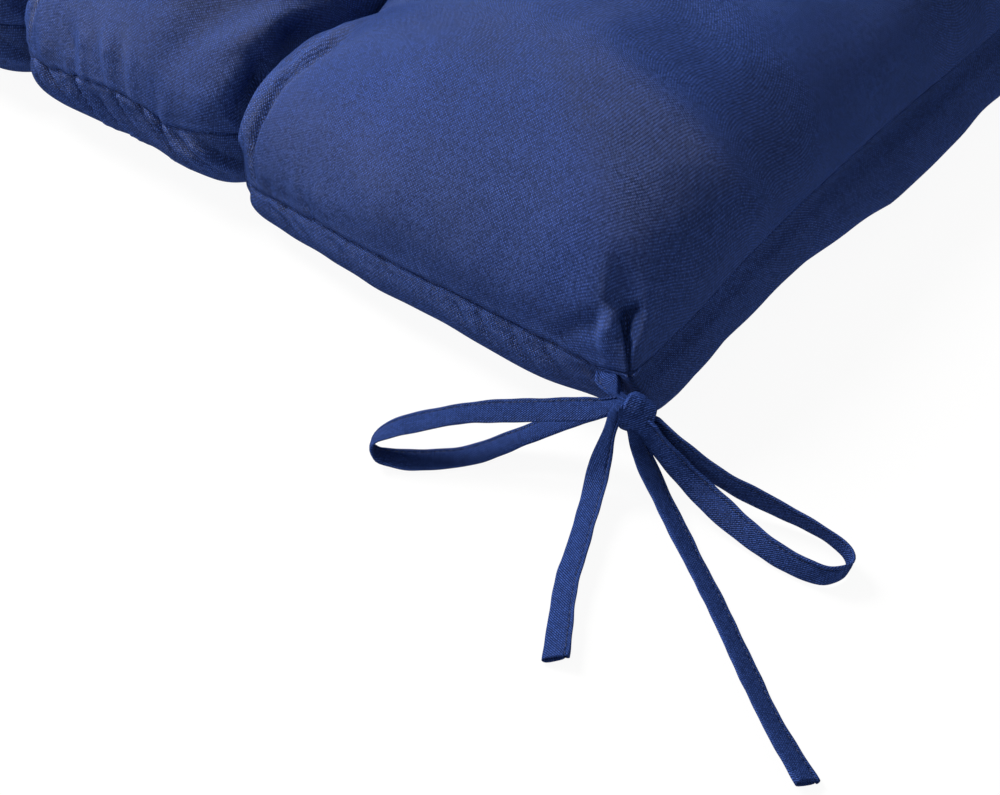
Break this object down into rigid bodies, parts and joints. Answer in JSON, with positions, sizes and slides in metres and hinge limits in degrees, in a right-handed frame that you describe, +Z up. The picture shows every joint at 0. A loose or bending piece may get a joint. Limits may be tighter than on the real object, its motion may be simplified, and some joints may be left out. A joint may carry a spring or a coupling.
{
  "type": "bench cushion",
  "caption": "Long rectangular bench cushion, drawn in by tufts into plump puffs across its length, with narrow cloth ties in a bow at each back corner.",
  "frame": {"origin": "on the rest surface, under the middle of the cushion", "axes": "+X along the cushion's length, +Y towards the back edge that carries the ties, +Z up out of the seat face"},
  "size_m": [1.5328, 0.5979, 0.125],
  "materials": {
    "fabric": "matte plain weave",
    "tie_fabric": "matte plain weave, cut on the bias"
  },
  "bodies": {
    "root": {"cushion": "fabric", "tie_a_root_upper": "tie_fabric", "tie_a_root_lower": "tie_fabric", "tie_a_knot": "tie_fabric", "tie_a_loop_left": "tie_fabric", "tie_a_loop_right": "tie_fabric", "tie_a_tail_left": "tie_fabric", "tie_a_tail_right": "tie_fabric", "tie_b_root_upper": "tie_fabric", "tie_b_root_lower": "tie_fabric", "tie_b_knot": "tie_fabric", "tie_b_loop_left": "tie_fabric", "tie_b_loop_right": "tie_fabric", "tie_b_tail_left": "tie_fabric", "tie_b_tail_right": "tie_fabric"}
  },
  "joints": []
}
